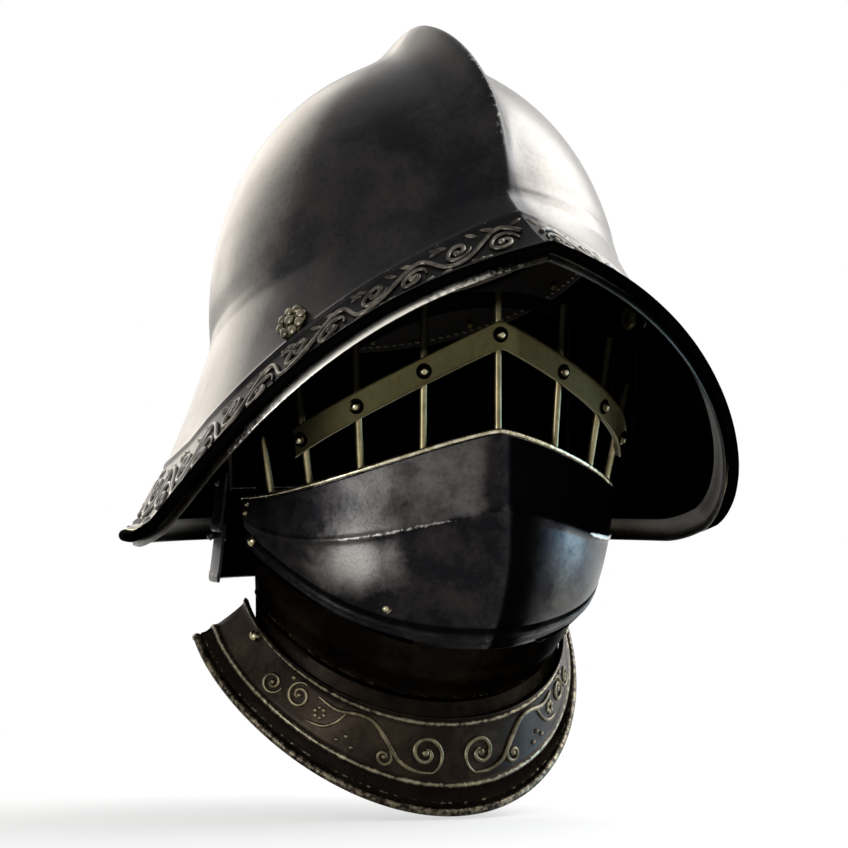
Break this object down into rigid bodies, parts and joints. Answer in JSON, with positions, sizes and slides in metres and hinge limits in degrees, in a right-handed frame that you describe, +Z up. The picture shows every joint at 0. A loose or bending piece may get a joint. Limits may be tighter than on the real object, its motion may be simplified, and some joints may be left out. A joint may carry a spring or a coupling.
{
  "type": "closed helmet",
  "caption": "Closed combed helmet with a flared brim, a barred face and bevor that swing up together, collar and gorget lames, and a lamed nape guard over a quilted lining.",
  "frame": {"origin": "the wearer's head, at the height of the bevor's upper edge, on the middle line between the temples", "axes": "+Z up, the face looks along -Y, +X to the wearer's left"},
  "size_m": [0.3192, 0.3056, 0.4042],
  "materials": {
    "blackened_steel": "blackened, worn to a dull polish",
    "russet_steel": "russeted, brown-black",
    "gilt_brass": "aged gilding over brass",
    "leather": "tanned hide, worn",
    "linen": "quilted linen"
  },
  "bodies": {
    "skull": {"skull": "blackened_steel", "brim": "blackened_steel", "brim_roll": "russet_steel", "brim_turned_band": "gilt_brass", "rosettes": "gilt_brass", "pivot_lugs": "blackened_steel", "pivot_bolts": "blackened_steel", "pivot_nuts": "gilt_brass", "lining_band": "leather", "lining_quilt": "linen", "lining_rivets": "gilt_brass", "nape_plate": "blackened_steel", "nape_upper_rivets": "blackened_steel"},
    "bevor": {"bevor": "blackened_steel", "bevor_edge_trim": "gilt_brass", "bevor_arms": "blackened_steel", "bevor_arm_rivets": "gilt_brass", "collar_rivets": "gilt_brass", "brow_rail": "blackened_steel", "cross_band": "gilt_brass", "grille_bars": "gilt_brass", "band_rivets": "gilt_brass", "visor_arms": "blackened_steel"},
    "turning_pin": {"turning_pin": "gilt_brass"},
    "collar": {"collar_lame": "russet_steel", "gorget_rivets": "gilt_brass"},
    "gorget": {"gorget_plate": "russet_steel", "gorget_roll": "russet_steel"},
    "nape_upper": {"nape_upper_lame": "blackened_steel", "nape_lower_rivets": "blackened_steel"},
    "nape_lower": {"nape_lower_lame": "blackened_steel"}
  },
  "joints": [
    {"name": "bevor_pivot", "type": "hinge", "parent": "skull", "child": "bevor", "pos_m": [0, -0.066, 0.057], "axis": [-1, 0, 0], "range_deg": [0, 60]},
    {"name": "turning_pin_turn", "type": "hinge", "parent": "bevor", "child": "turning_pin", "pos_m": [-0.05006, -0.0741, -0.088], "axis": [-0.5464, -0.7117, -0.4416], "range_deg": [0, 90]},
    {"name": "collar_tilt", "type": "hinge", "parent": "bevor", "child": "collar", "pos_m": [0, -0.012, -0.056], "axis": [-1, 0, 0], "range_deg": [0, 3]},
    {"name": "gorget_tilt", "type": "hinge", "parent": "collar", "child": "gorget", "pos_m": [0, 0.009, -0.105], "axis": [-1, 0, 0], "range_deg": [0, 4]},
    {"name": "nape_upper_lift", "type": "hinge", "parent": "skull", "child": "nape_upper", "pos_m": [0, 0.034, -0.026], "axis": [1, 0, 0], "range_deg": [0, 5]},
    {"name": "nape_lower_lift", "type": "hinge", "parent": "nape_upper", "child": "nape_lower", "pos_m": [0, 0.036, -0.054], "axis": [1, 0, 0], "range_deg": [0, 5]}
  ]
}
